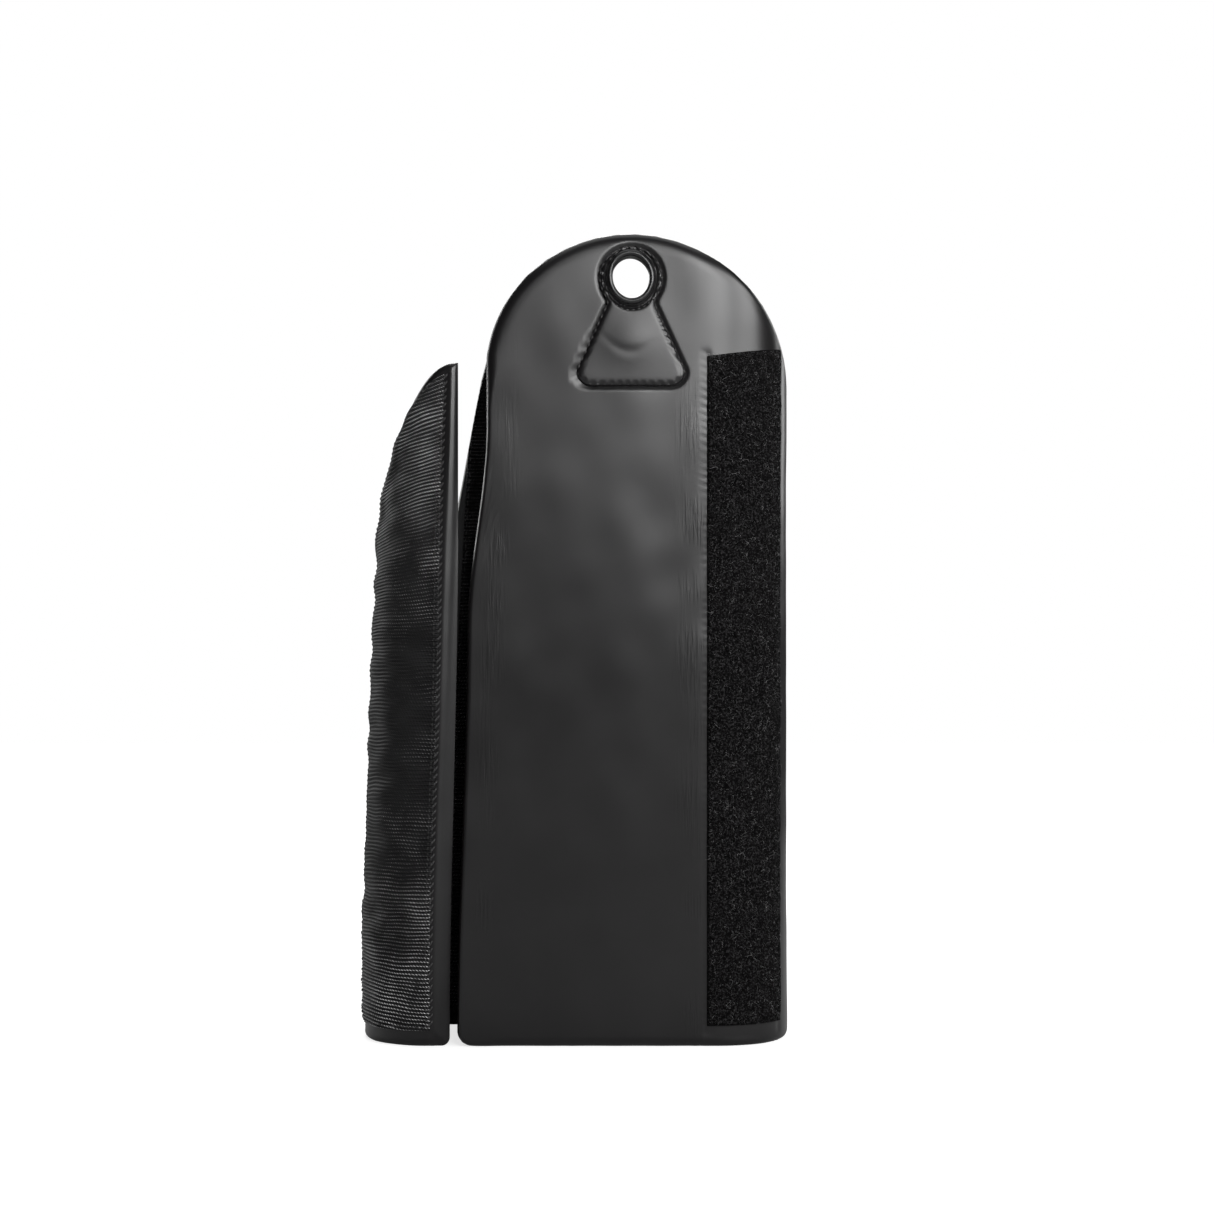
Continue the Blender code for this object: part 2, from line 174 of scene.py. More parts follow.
# --------------------------------------
# Padding: a board of closed-cell foam about 8 mm thick, wrapped in smooth black PU leather that is
# turned round every free edge.  It is one strip from the front's free edge, round the right bend,
# over the back and round the left bend to the flap's free edge.
HALF_SHEET = 4.5            # the fold lines stand this deep in the sheet
PADDING = 8.2               # cover and foam, without the lining
BEND_CENTRE = folds["right_fold"].x - MIDDLE_X - BEND_RADIUS + HALF_SHEET
QUARTER = BEND_RADIUS * pi / 2
FLAT = 2 * BEND_CENTRE
LEFT_FOLD = -2 * QUARTER - FLAT
DOME_TOP, SHOULDER, DOME_REACH, DOME_FALL = 470.0, 390.0, 84.0, 0.0061
BACK_TOP, VALLEY, FLAP_TIP = 415.0, 295.0, 395.5
VALLEY_REACH, VALLEY_SIDE, FLAP_RISE = 60.0, 24.0, 4.0
LEAN, LEAN_START = 15.0, 55.0
FRONT_CORNER, FLAP_CORNER = 9.0, 5.0
ROLL = 5.0                  # how far in from a free edge the sheet is rounded
CRISP = 3.0                 # how much narrower that is down the front's free edge
BEVEL = 9.0                 # width of the flat bevel down the flap's free edge
DROOP_WIDTH, DROOP, DROOP_START = 10.0, 1.2, 385.0    # how the dome's border sinks towards its rim
EDGE_STEPS = (0.0, 0.12, 0.5, 1.1, 1.9, 2.9, 4.1, 5.5, 7.0)


def smooth(value):
    """0 below 0, 1 above 1, and an easy S between them."""
    t = np.clip(value, 0.0, 1.0)
    return t * t * (3 - 2 * t)


def lean(z):
    """How far the left bend leans inward at height z."""
    return LEAN * np.clip((z - LEAN_START) / (FLAP_TIP - LEAN_START), 0.0, None) ** 1.4


def place(g, depth, z):
    """World x, y, z in mm: flats and half-round bends in turn; the left bend leans inward."""
    radius = BEND_RADIUS - depth
    right = pi / 2 - np.clip(g, -QUARTER, QUARTER) / BEND_RADIUS
    along = np.clip(-g - QUARTER, 0.0, FLAT)
    left = np.clip(-g - QUARTER - FLAT, 0.0, 2 * QUARTER) / BEND_RADIUS
    front = np.maximum(g - QUARTER, 0.0)
    flap = np.maximum(-g - 3 * QUARTER - FLAT, 0.0)
    x = BEND_CENTRE + radius * (np.sin(right) - np.sin(left)) - front - along + flap
    x = x + lean(z) * along / FLAT + MIDDLE_X
    y = radius * np.where(left > 0, np.cos(left), -np.cos(right)) + MIDDLE_Y
    return np.stack(np.broadcast_arrays(x, y, z), axis=-1)


def front_edge(z):
    """g of the front's free edge: it widens to the left in two easy steps lower down."""
    edge_x = -51.0 - 11.0 * smooth((360.0 - z) / 120.0) - 6.0 * smooth((250.0 - z) / 250.0)
    return QUARTER + BEND_CENTRE - edge_x


def flap_edge(z):
    """g of the flap's free edge."""
    return LEFT_FOLD - QUARTER - BEND_CENTRE + 72.3 - 4.8 * smooth(z / 300.0) + lean(z)


def top(g):
    """The strip's upper outline: dome, right shoulder, back, steep valley, and the flap's point."""
    apex = QUARTER + BEND_CENTRE - DOME_X
    ellipse = SHOULDER + (DOME_TOP - SHOULDER) * np.sqrt(1
        - np.clip((g - apex) / DOME_REACH, 0, 1) ** 2)
    parabola = DOME_TOP - DOME_FALL * (apex - g) ** 2
    start = DOME_TOP - DOME_FALL * apex ** 2
    back = start + (BACK_TOP - start) * smooth(-g / 80.0)
    back = back - (BACK_TOP - VALLEY) * (1 - smooth((g - LEFT_FOLD - VALLEY_REACH) / VALLEY_SIDE))
    rise = np.clip((LEFT_FOLD - g - FLAP_RISE) / (QUARTER - FLAP_RISE), 0, 1)
    flap = VALLEY + (FLAP_TIP - VALLEY) * np.sin(rise * pi / 2)
    front = np.where(g > apex, ellipse, parabola)
    return np.where(g > 0, front, np.where(g > LEFT_FOLD, back, flap))


def corner(radius, away):
    """Height of a round corner's edge at a distance away from the corner's side."""
    return radius - np.sqrt(radius ** 2 - (radius - np.clip(away, 0.0, radius)) ** 2)


def bottom(g):
    """The strip's lower outline: level, with round corners at both free edges."""
    return corner(FRONT_CORNER, front_edge(0.0) - g) + corner(FLAP_CORNER, g - flap_edge(0.0))


def waves(g, z, size, seed, stretch=1.0):
    """Gentle uneven swelling: the sum of twelve plane waves of about that size, from -1 to 1."""
    draw = np.random.default_rng(seed)
    total = 0.0
    for _ in range(12):
        angle, phase = draw.uniform(0, pi), draw.uniform(0, 2 * pi)
        pitch = size * draw.uniform(0.7, 1.5)
        total = total + np.sin(2 * pi * (g * np.cos(angle) + z * np.sin(angle) / stretch) / pitch
            + phase)
    return total / 5.0


def steepness(g):
    """Slope of the upper outline, as a size."""
    return np.abs(top(g + 0.5) - top(g - 0.5))


def slant(g):
    """Drop in height for each millimetre square to the upper outline, at most about three."""
    return np.sqrt(1 + np.minimum(steepness(g), 3.0) ** 2)


def edge_distance(g, z):
    """Distance over the sheet to its nearest free edge, up to twice the rolled border, taken to
    points 0.5 mm apart along the edges."""
    up = np.arange(0.0, SHOULDER + 8, 0.5)
    along = np.arange(flap_edge(0.0) - 1, front_edge(0.0) + 1, 0.5)
    up_flap = up[up < FLAP_TIP]
    edges = [np.stack([front_edge(up), up]), np.stack([flap_edge(up_flap), up_flap])]
    for outline in (top, bottom):
        height = outline(along)
        steep = np.linspace(0, 1, 12)[:-1, None]
        line = np.stack([along[:-1] + steep * 0.5, height[:-1] + steep * np.diff(height)])
        inside = (line[0] < front_edge(line[1])) & (line[0] > flap_edge(line[1]))
        jump = np.abs(np.diff(height))[None, :] > 0.6
        keep = inside & (jump | (steep == 0))
        edges.append(line[:, keep])
    edges = np.concatenate(edges, axis=1)
    rough = np.minimum(np.minimum(front_edge(z) - g, g - flap_edge(z)),
        np.minimum(z - bottom(g), (top(g) - z) / (1 + np.minimum(steepness(g), 5))))
    close = rough < 2 * ROLL
    nearest = np.full(int(close.sum()), 1e9)
    for part in np.array_split(edges, edges.shape[1] // 40 + 1, axis=1):
        gap = (g[close][:, None] - part[0]) ** 2 + (z[close][:, None] - part[1]) ** 2
        nearest = np.minimum(nearest, gap.min(axis=-1))
    distance = np.full(g.shape, 2.0 * ROLL)
    distance[close] = np.minimum(np.sqrt(nearest), 2.0 * ROLL)
    return distance


EASE = 12.0                 # how gently the flats turn into the bends


def swell(g, z):
    """The foam's slow unevenness, outward, and the ease between flats and bends: a parabola blurred
    over EASE, less the sharp one."""
    into = np.where(g > -QUARTER - FLAT / 2, QUARTER - np.abs(g),
        QUARTER - np.abs(g - LEFT_FOLD)) / EASE
    under = 1 / (1 + np.exp(-1.702 * into))
    bell = np.exp(-into ** 2 / 2) / np.sqrt(2 * pi)
    blurred = (into ** 2 + 1) * under + into * bell - np.clip(into, 0, None) ** 2
    cloudy = 0.45 * waves(g, z, 95.0, 3, 1.6) + 0.13 * waves(g, z, 40.0, 5)
    return cloudy + EASE ** 2 / (2 * BEND_RADIUS) * (0.5 - np.clip(blurred, 0, 1))


def lines(low, high, pitch, fine=(), fine_low=False, fine_high=False):
    """Grid lines from low to high: pitch apart, closer in each fine (from, to, pitch) stretch,
    and crowded towards an end that is a rounded free edge."""
    steps = np.array(EDGE_STEPS)
    start = low + (steps[-1] if fine_low else 0.0)
    end = high - (steps[-1] if fine_high else 0.0)
    marks = [np.linspace(start, end, max(2, round((end - start) / pitch) + 1))]
    for begin, stop, step in fine:
        marks[0] = marks[0][(marks[0] < begin - step / 2) | (marks[0] > stop + step / 2)]
        marks.append(np.arange(begin, stop + step / 2, step))
    if fine_low:
        marks.append(low + steps[:-1])
    if fine_high:
        marks.append(high - steps[:-1])
    return np.unique(np.concatenate(marks).round(4))


def held(value, where):
    """The value, or what it gives at a place if it is a function."""
    return value(where) if callable(value) else value


def spread(columns, rows, low_g, high_g, low_z, high_z):
    """A grid on the sheet between two sides and two outlines, each a number or a function of the
    other way.  g and z are settled by turns."""
    u = (columns - columns[0]) / (columns[-1] - columns[0])
    v = (rows - rows[0]) / (rows[-1] - rows[0])
    u, v = np.meshgrid(u, v)
    z = v * SHOULDER
    for _ in range(8):
        low = held(low_g, z)
        g = low + u * (held(high_g, z) - low)
        foot = held(low_z, g)
        z = foot + v * (held(high_z, g) - foot)
    return g, z


def add_piece(name, points, faces, material, surface=None, attributes=None):
    """A mesh object from a closed body's points in mm and its faces, turned outwards by the sign of
    its volume.  Each point's (g, z), the surface, becomes a UV map in metres."""
    surface = np.zeros((len(points), 2)) if surface is None else surface
    spot = points[faces]
    area = np.cross(spot[:, 2] - spot[:, 0], spot[:, -1] - spot[:, 1])
    if (area * (spot.mean(axis=1) - points.mean(axis=0))).sum() < 0:
        faces = faces[:, ::-1]
    mesh = bpy.data.meshes.new(name)
    mesh.vertices.add(len(points))
    mesh.vertices.foreach_set("co", (points * MM).astype(np.float32).ravel())
    sides = faces.shape[1]
    mesh.loops.add(faces.size)
    mesh.loops.foreach_set("vertex_index", faces.ravel().astype(np.int32))
    mesh.polygons.add(len(faces))
    mesh.polygons.foreach_set("loop_start", np.arange(0, faces.size, sides, dtype=np.int32))
    mesh.update(calc_edges=True)
    mesh.validate()
    uv = mesh.uv_layers.new(name="sheet")
    uv.data.foreach_set("uv", (surface[faces.ravel()] * MM).astype(np.float32).ravel())
    for key, values in (attributes or {}).items():
        mesh.attributes.new(key, "FLOAT", "POINT").data.foreach_set("value",
            values.astype(np.float32))
    mesh.materials.append(material)
    mesh.shade_smooth()
    mesh.set_sharp_from_angle(angle=radians(55))
    return put(name, mesh)


def shell(name, g, z, outer, inner, material, seam_low=False, seam_high=False, attributes=None):
    """A closed body between two depths over one grid.  Its two faces meet along the grid's border,
    except at a seam, where a flat wall closes it."""
    rows, columns = g.shape
    index = np.arange(rows * columns).reshape(rows, columns)
    joined = np.zeros_like(index, dtype=bool)
    joined[[0, -1], :] = True
    joined[:, 0] |= not seam_low
    joined[:, -1] |= not seam_high
    middle = (outer + inner) / 2
    outer = np.where(joined, middle, outer)
    under = np.where(joined, index, index + index.size)
    quad = [index[:-1, :-1], index[1:, :-1], index[1:, 1:], index[:-1, 1:]]
    back = [under[:-1, :-1], under[:-1, 1:], under[1:, 1:], under[1:, :-1]]
    faces = [np.stack(quad, -1).reshape(-1, 4), np.stack(back, -1).reshape(-1, 4)]
    for wanted, column, turn in ((seam_low, 0, 1), (seam_high, -1, -1)):
        if wanted:
            wall = [index[:-1, column], under[:-1, column], under[1:, column], index[1:, column]]
            faces.append(np.stack(wall[::turn], -1))
    faces = np.concatenate(faces)
    points = np.concatenate([place(g, outer, z).reshape(-1, 3), place(g, inner, z).reshape(-1, 3)])
    surface = np.tile(np.stack([g, z], -1).reshape(-1, 2), (2, 1))
    used, faces = np.unique(faces, return_inverse=True)
    faces = faces.reshape(-1, 4)
    points, surface = points[used], surface[used]
    kept = {key: np.tile(values.ravel(), 2)[used] for key, values in (attributes or {}).items()}
    return add_piece(name, points, faces, material, surface, kept)


def join_over_bend(piece):
    """Bakes a piece's placement into its points."""
    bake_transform(piece)


# Smooth PU leather: a knitted backing under a thin polished polyurethane film, pressed with a grain
# finer than half a millimetre.  It gives a soft broad sheen, and fine creases where it was bent.
leather, tree, spot = empty_material("smooth_pu_leather")
crease_mask = add_node(tree, "Attribute", attribute_name="creased")
cloudy = add_node(tree, "TexNoise", {"Vector": spot["Object"], "Scale": 14.0, "Detail": 3.0})
tone = add_node(tree, "ValToRGB", {"Fac": cloudy}, ((0.35, "0c0b0c"), (0.7, "111011")))
sheen = add_node(tree, "MapRange", {"Value": cloudy, "From Min": 0.3, "From Max": 0.7,
    "To Min": 0.31, "To Max": 0.36})
grain = add_node(tree, "TexVoronoi", {"Vector": spot["Object"], "Scale": 1 / (0.55 * MM)})
long_way = add_node(tree, "Mapping", {"Vector": spot["UV"],
    "Scale": (1 / (1.6 * MM), 1 / (26 * MM), 1.0)})
creases = add_node(tree, "TexNoise", {"Vector": long_way, "Scale": 1.0, "Detail": 2.0,
    "Distortion": 0.6})
ridge = add_node(tree, "MapRange", {"Value": creases, "From Min": 0.42, "From Max": 0.6})
creased = add_node(tree, "Math", {0: ridge, 1: crease_mask.outputs["Fac"]}, operation="MULTIPLY")
fine_bump = add_node(tree, "Bump", {"Height": grain, "Strength": 0.05, "Distance": 0.1 * MM})
crease_bump = add_node(tree, "Bump", {"Height": creased, "Strength": 0.5, "Distance": 0.25 * MM,
    "Normal": fine_bump})
skin = add_node(tree, "BsdfPrincipled", {"Base Color": tone, "Roughness": sheen,
    "Normal": crease_bump, "IOR": 1.5})
add_node(tree, "OutputMaterial", {"Surface": skin})

STITCH = 4.5                # pitch of the lockstitch seams
LOOP_LOW, LOOP_HIGH = 24.0, 74.0
LOOP_TOP, LOOP_SLANT = 406.0, 0.14
TAPE_FOOT = 12.0            # height of the tapes' lower ends; the hook tape's is lower
HOOK_LOW, HOOK_HIGH = LEFT_FOLD - 67.0, LEFT_FOLD - 9.0
HOOK_FOOT, HOOK_MARGIN = 9.0, 5.5
PATCH_HEAD, PATCH_FOOT, PATCH_CORNER = 18.2, 381.5, 9.0
EYELET_Z = 444.0


def hook_low(z):
    """g of the hook tape's inner edge, which draws away from the flap's edge towards the point."""
    return HOOK_LOW + 6.0 * smooth((z - 170.0) / 220.0)


def hook_top(g):
    """The hook tape's upper edge, a margin below the flap's."""
    return top(g) - HOOK_MARGIN


def loop_top(g):
    """The loop tape's slanted upper edge."""
    return LOOP_TOP - LOOP_SLANT * (g - LOOP_LOW)


def patch_half(z):
    """Half width of the keyhole patch: a round head, flared sides and a round-cornered foot."""
    head = np.sqrt(np.clip(PATCH_HEAD ** 2 - (z - EYELET_Z) ** 2, 0.0, None))
    sides = np.where(z < 436.0, 31.6 - 0.46 * np.clip(z - 390.0, 0.0, None), 0.0)
    low = np.clip(PATCH_CORNER - (z - PATCH_FOOT), 0.0, PATCH_CORNER)
    sides = sides - (PATCH_CORNER - np.sqrt(PATCH_CORNER ** 2 - low ** 2))
    blend = 5.0
    most, gap = np.maximum(head, sides), np.abs(head - sides)
    return most + np.clip(blend - gap, 0.0, None) ** 2 / (4 * blend)


def patch_outline():
    """Points round the keyhole's outline as (x from its middle, z), anticlockwise from the top."""
    z = PATCH_FOOT + (EYELET_Z + PATCH_HEAD - PATCH_FOOT) * (1
        - np.cos(np.linspace(0, pi, 400))) / 2
    half = patch_half(z)
    half[[0, -1]] = 0.0
    route = np.concatenate([np.stack([-half, z], 1)[::-1], np.stack([half, z], 1)[1:-1]])
    closed = np.vstack([route, route[:1]])
    length = np.concatenate([[0], np.cumsum(np.linalg.norm(np.diff(closed, axis=0), axis=1))])
    marks = np.arange(0, length[-1], 0.5)
    return np.stack([np.interp(marks, length, closed[:, 0]),
        np.interp(marks, length, closed[:, 1])], 1)


def patch_distance(x, z):
    """Distance to the patch's outline, negative outside it."""
    nearest = np.full(x.shape, 1e9)
    for part in np.array_split(patch_outline(), 12):
        gap = (x[..., None] - part[:, 0]) ** 2 + (z[..., None] - part[:, 1]) ** 2
        nearest = np.minimum(nearest, gap.min(axis=-1))
    inside = (np.abs(x) < patch_half(z)) & (z > PATCH_FOOT) & (z < EYELET_Z + PATCH_HEAD)
    return np.where(inside, 1, -1) * np.sqrt(nearest)


def pull(away, z, depth, reach):
    """A seam's valley with a pucker at each stitch, inward."""
    uneven = 0.55 + 0.45 * waves(0 * z, z, 21.0, 17)
    pucker = 0.40 + 0.16 * np.cos(2 * pi * z / STITCH + 1.2 * waves(0 * z, z, 33.0, 18)) * uneven
    return depth * np.exp(-(away / reach) ** 2) * pucker


def seams(g, z):
    """How far the tapes' and the patch's seams pull the leather in."""
    inward = 0.0
    for low, high, upper in ((LOOP_LOW, LOOP_HIGH, loop_top), (hook_low(z), HOOK_HIGH, top)):
        beside = (z > TAPE_FOOT - 6) * smooth((upper(g) + 6 - z) / 6)
        for edge in (low, high):
            deep = 0.9 if upper is loop_top else 0.35
            inward = inward + beside * pull(np.abs(g - edge), z, deep, 2.4)
    return inward


def dome_x(g):
    """x from the patch's middle, on the flat front."""
    return QUARTER + BEND_CENTRE - DOME_X - g


def sheet_skin(g, z):
    """The leather's outer and inner depths: level, rolled at free edges, and pulled in at seams."""
    away = edge_distance(g, z)
    crisp = smooth((g - front_edge(z) + 25) / 10) * smooth((395 - z) / 30)
    edge = np.clip(away / (ROLL - CRISP * crisp), 0.0, 1.0)
    bevelled = smooth((LEFT_FOLD - QUARTER - g) / 8)
    rounded = np.sqrt(1 - (1 - edge) ** 2) * (1 - bevelled)
    share = rounded + np.clip(away / BEVEL, 0.0, 1.0) * bevelled
    droop = DROOP * np.clip(1 - away / DROOP_WIDTH, 0,
        1) ** 2 * smooth((z - DROOP_START) / 40) * edge
    raised = swell(g, z) * edge - droop
    near_patch = np.where(g > 60, np.clip(-patch_distance(dome_x(g), z), 0.0, 30.0), 30.0)
    sunk = 1.3 * np.exp(-(near_patch / 1.1) ** 2)
    outer = PADDING / 2 * (1 - share) - raised + seams(g, z) * edge + sunk
    return outer, PADDING / 2 * (1 + share) + 0 * g


def creased_amount(g, z):
    """How creased the leather is: by the front's free edge and beside the loop tape."""
    by_edge = np.exp(-((front_edge(z) - g - 14) / 6) ** 2) * (0.3 + 0.7 * smooth((380 - z) / 80))
    by_tape = np.exp(-((g - LOOP_HIGH - 6) / 9) ** 2) * smooth((400 - z) / 60)
    patchy = np.clip(0.4 + 0.6 * waves(g, z, 40.0, 11), 0.0, 1.0)
    return np.clip(0.6 * by_edge + by_tape, 0.0, 1.0) * patchy


def panel_padding(name, columns, low, high, creasing, **seamed):
    """One panel's padding between two sides of the strip, in place of its cover and foam."""
    g, z = spread(columns, tall, low, high, bottom, top)
    new = shell(name + "_padding", g, z, *sheet_skin(g, z), leather,
        attributes={"creased": creasing * creased_amount(g, z)}, **seamed)
    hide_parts(name + "_cover", name + "_foam")
    return new


tall = lines(0.0, DOME_TOP, 1.35, fine_low=True, fine_high=True)
front_lines = lines(-QUARTER, front_edge(200.0), 3.0, fine=((LOOP_LOW - 5, LOOP_LOW + 2, 0.9),
    (LOOP_HIGH - 2, LOOP_HIGH + 6, 0.9),
    (84, 150, 1.0)), fine_high=True)
back_lines = lines(-QUARTER - FLAT, -QUARTER, 3.0)
flap_lines = lines(flap_edge(200.0), -QUARTER - FLAT, 2.5,
    fine=((HOOK_LOW - 5, HOOK_LOW + 2, 0.9), (HOOK_HIGH - 2, HOOK_HIGH + 5, 0.9)), fine_low=True)
front_padding = panel_padding("front", front_lines, -QUARTER, front_edge, 1.0, seam_low=True)
back_padding = panel_padding("back", back_lines, -QUARTER - FLAT, -QUARTER, 0.3, seam_low=True,
    seam_high=True)
flap_padding = panel_padding("flap", flap_lines, flap_edge, -QUARTER - FLAT, 0.3, seam_high=True)

# --------------------------------------
# Lining: black nylon cloth laid over the foam inside the tube and sewn down round its border.
LINING_IN = 4.0             # the border of leather left round it
LINING_THICK = 0.6


def lining_piece(name, columns, low_g, high_g, seam_low, seam_high):
    """A thin sheet on the inner face, its border a little inside the strip's outline."""
    tall_lining = lines(0.0, 400.0, 4.0, fine_low=True, fine_high=True)
    g, z = spread(columns, tall_lining, low_g, high_g, lambda g: bottom(g) + LINING_IN,
        lambda g: top(g) - LINING_IN * slant(g))
    billow = 0.25 * waves(g, z, 30.0, 21) + 0.3
    edge = np.clip(edge_distance(g, z) / (LINING_IN + 4), 0.0, 1.0)
    inner = PADDING + 0.15 + (LINING_THICK + billow) * edge
    return shell(name, g, z, np.full_like(g, PADDING - 1.0), inner, lining_cloth, seam_low,
        seam_high)


# Plain-woven nylon: threads a quarter of a millimetre apart, drawn at 0.8 mm so the weave shows.
lining_cloth, tree, spot = empty_material("black_nylon_lining")
weave = add_node(tree, "Mapping", {"Vector": spot["UV"], "Scale": (1 / MM, 1 / MM, 1.0)})
warp, weft = (add_node(tree, "TexWave", {"Vector": weave, "Scale": 0.4}, bands_direction=way)
    for way in "XY")
crossed = add_node(tree, "Math", {0: warp.outputs["Fac"], 1: weft.outputs["Fac"]},
    operation="MULTIPLY")
uneven = add_node(tree, "TexNoise", {"Vector": spot["Object"], "Scale": 40.0, "Detail": 4.0})
tone = add_node(tree, "ValToRGB", {"Fac": uneven}, ((0.0, "151516"), (1.0, "242426")))
woven = add_node(tree, "Bump", {"Height": crossed, "Strength": 0.5, "Distance": 0.15 * MM})
cloth = add_node(tree, "BsdfPrincipled", {"Base Color": tone, "Roughness": 0.68,
    "Sheen Weight": 0.25, "Sheen Roughness": 0.4, "Normal": woven})
add_node(tree, "OutputMaterial", {"Surface": cloth})

front_lining = lining_piece("front_lining_cloth",
    lines(-QUARTER, front_edge(200.0), 4.0, fine_high=True),
    -QUARTER, lambda z: front_edge(z) - LINING_IN, True, False)
back_lining = lining_piece("back_lining_cloth", back_lines, -QUARTER - FLAT, -QUARTER, True, True)
flap_lining = lining_piece("flap_lining_cloth",
    lines(flap_edge(200.0), -QUARTER - FLAT, 4.0, fine_low=True),
    lambda z: flap_edge(z) + LINING_IN, -QUARTER - FLAT, False, True)
for piece, panel, flat, area in ((front_lining, "front", (0.284, 0.462), 0.110),
        (back_lining, "back", (0.169, 0.411), 0.066),
        (flap_lining, "flap", (0.140, 0.387), 0.041)):
    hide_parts(panel + "_lining")

# --------------------------------------
# Hook-and-loop tapes.  Two outer ones: a 58 mm nylon hook tape, ribbed across, on the flap, and a
# 50 mm loop tape with a brushed pile up the right bend.  Two 38 mm ones are sewn inside the tube.
NARROW_TAPE = 38.0
INNER_LOW, INNER_MARGIN = LEFT_FOLD + 72.0, 5.0
EDGE_LOW, EDGE_TOP = QUARTER + BEND_CENTRE + 8.0, 384.0
LOOP_THICK, HOOK_THICK = 2.2, 1.3
# Each tape's two sides, foot and upper edge.
LOOP = (LOOP_LOW, LOOP_HIGH, TAPE_FOOT, loop_top)
HOOK = (hook_low, HOOK_HIGH, HOOK_FOOT, hook_top)
INNER = (INNER_LOW, INNER_LOW + NARROW_TAPE, TAPE_FOOT, lambda g: top(g) - INNER_MARGIN)
EDGE = (EDGE_LOW, EDGE_LOW + NARROW_TAPE, TAPE_FOOT, lambda g: EDGE_TOP + 0 * g)


def tape(name, low, high, foot, upper, base, side, thick, relief, pitch, columns, material,
        border=1.2, tone=None):
    """A strip on the sheet: base is the depth of the face under it, side -1 outside and 1 inside.
    relief stands on its face, and its edges are rounded over border; tone gives attributes."""
    start = held(low, 0.0)
    across = np.unique(np.concatenate([start + np.array([0, 0.25, 0.6, 1.1]),
        np.linspace(start + 1.8, high - 1.8, columns), high - np.array([1.1, 0.6, 0.25, 0])]))
    tall_tape = lines(0.0, 400.0, pitch)
    g, z = spread(across, tall_tape, low, high, foot, upper)
    near = np.minimum(np.minimum(g - g[:, :1], high - g), np.minimum(z - foot, upper(g) - z))
    share = np.sqrt(1 - (1 - np.clip(near / border, 0, 1)) ** 2)
    lifted = thick * share + relief(g, z) * share
    ground = base(g, z)
    kept = {} if tone is None else tone(g, z)
    return shell(name, g, z, ground + side * lifted, ground - side * 0.6, material, attributes=kept)


def outside(g, z):
    """The leather's face under a tape."""
    return 0.3 - swell(g, z)


def inside(g, z):
    """The lining's face under a tape."""
    return PADDING + LINING_THICK + 0.2 + 0 * g


def pile_relief(g, z):
    """The loop pile's tufts, a millimetre or two across, on slow ruffles."""
    tufts = waves(g, z, 2.6, 31) * waves(g, z, 3.7, 32)
    return 0.5 + 0.30 * tufts + 0.25 * waves(g, z, 14.0, 33)


RIB = 2.2                   # spacing of the hook tape's cross ribs


def rib_phase(g, z):
    """Rib number: the ribs climb towards the free edge near the point and fall near the foot."""
    climb = 0.27 * smooth((z - 215) / 130) - 0.09 * (1 - smooth(z / 95))
    ease = 4.0 * smooth((z - 200) / 150) * ((HOOK_HIGH - g) / 55 - 1) ** 2
    stray = 0.6 * waves(g, z, 60.0, 41) + 0.5 * waves(g, z, 24.0, 45)
    return (z + climb * (g - HOOK_LOW) + ease + stray) / RIB


def hook_relief(g, z):
    """Woven ribs over slow folds in the tape, with a rucked band along its slanted top."""
    level = np.exp(-(1.5 * steepness(g) * z / top(g)) ** 2)
    cloth = np.cos(2 * pi * rib_phase(g, z)) * level
    folds_across = waves(g, z, 34.0, 42, 0.5)
    rucked = np.exp(-(((hook_top(g) - z) / slant(g) - 3.5) / 3.0) ** 2)
    return 0.7 + 0.40 * cloth + 0.45 * waves(g, z, 26.0, 43) + 0.80 * folds_across + 0.9 * rucked


def hook_tone(g, z):
    """How the ribs stray from level ones, and painted shade: the tape's middle is painted darker
    than both ends, with random tone and a darker band just under its upper edge.
    """
    # Painted shade: the tape is painted darker in its middle than at both ends.
    shaded_tone = 0.20 + 0.63 * smooth((z - 215) / 130) + 0.75 * smooth((140 - z)
        / 110) + 0.14 * waves(g, z, 45.0, 44)
    band = 1 - 0.45 * np.exp(-(((hook_top(g) - z) / slant(g) - 1.0) / 3.5) ** 2)
    return {"shade_and_tone": shaded_tone * band, "stray": rib_phase(g, z) - z / RIB}


# Loop pile: a knitted nylon ground with its loops brushed up into a dense dull fuzz, near black.
loop_pile, tree, spot = empty_material("brushed_loop_pile")
tufts = add_node(tree, "TexNoise", {"Vector": spot["Object"], "Scale": 1 / (1.1 * MM),
    "Detail": 5.0, "Roughness": 0.75})
tone = add_node(tree, "ValToRGB", {"Fac": tufts}, ((0.49, "030303"), (0.66, "343334")))
fuzz = add_node(tree, "Bump", {"Height": tufts, "Strength": 1.0, "Distance": 0.9 * MM})
nap = add_node(tree, "BsdfPrincipled", {"Base Color": tone, "Roughness": 0.95,
    "Specular IOR Level": 0.05, "Normal": fuzz})
add_node(tree, "OutputMaterial", {"Surface": nap})

# Hook tape's woven face: twisted black nylon yarn in a steep twill, drawn at 1.1 mm so it shows.
# The ribs run level but for stray; the grooves between them are painted near black as shade, and
# the tape's middle is painted darker than its ends as shade.
hook_cloth, tree, spot = empty_material("ribbed_nylon_tape")
yarn_place = add_node(tree, "Mapping", {"Vector": spot["UV"], "Scale": (1 / MM, 1 / MM, 1.0),
    "Rotation": (0, 0, radians(52))})
yarn = add_node(tree, "TexWave", {"Vector": yarn_place, "Scale": 0.30, "Distortion": 1.2,
    "Detail": 1.0, "Detail Scale": 0.6}, bands_direction="X")
patchy = add_node(tree, "TexNoise", {"Vector": spot["Object"], "Scale": 60.0, "Detail": 5.0})
speckle = add_node(tree, "TexNoise", {"Vector": spot["Object"], "Scale": 1 / (0.8 * MM),
    "Detail": 2.0})
mixed = add_node(tree, "Math", {0: yarn.outputs["Fac"], 1: speckle}, operation="MULTIPLY")
